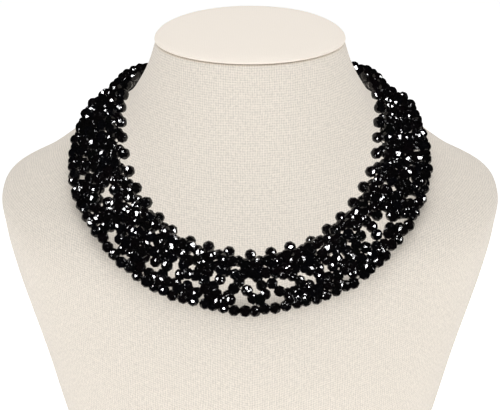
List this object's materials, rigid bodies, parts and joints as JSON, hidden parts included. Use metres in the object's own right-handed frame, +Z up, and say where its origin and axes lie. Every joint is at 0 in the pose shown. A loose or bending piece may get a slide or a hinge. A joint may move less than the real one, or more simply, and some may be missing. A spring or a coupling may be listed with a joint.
{
  "type": "beaded choker necklace on a neck bust",
  "caption": "Wide woven collar of faceted black beads with openwork lower edge, lying round the neck and shoulders of a linen-covered display bust.",
  "frame": {"origin": "the middle of the bust's flat base, under the axis of its neck", "axes": "+Z up along the neck, -Y towards the viewer (the chest and the front of the collar), +X to the viewer's right"},
  "size_m": [0.2752, 0.165, 0.2652],
  "materials": {
    "linen": "natural linen with a fine plain weave, stretched over the form",
    "cap_linen": "the same linen over a thin pad",
    "jet_glass": "opaque black faceted glass, high gloss",
    "clasp_metal": "black plated metal, satin"
  },
  "bodies": {
    "root": {"bust_body": "linen", "neck_cap": "cap_linen", "inner_edge_beads": "jet_glass", "woven_band": "jet_glass", "outer_edge_beads": "jet_glass", "clasp": "clasp_metal"}
  },
  "joints": []
}
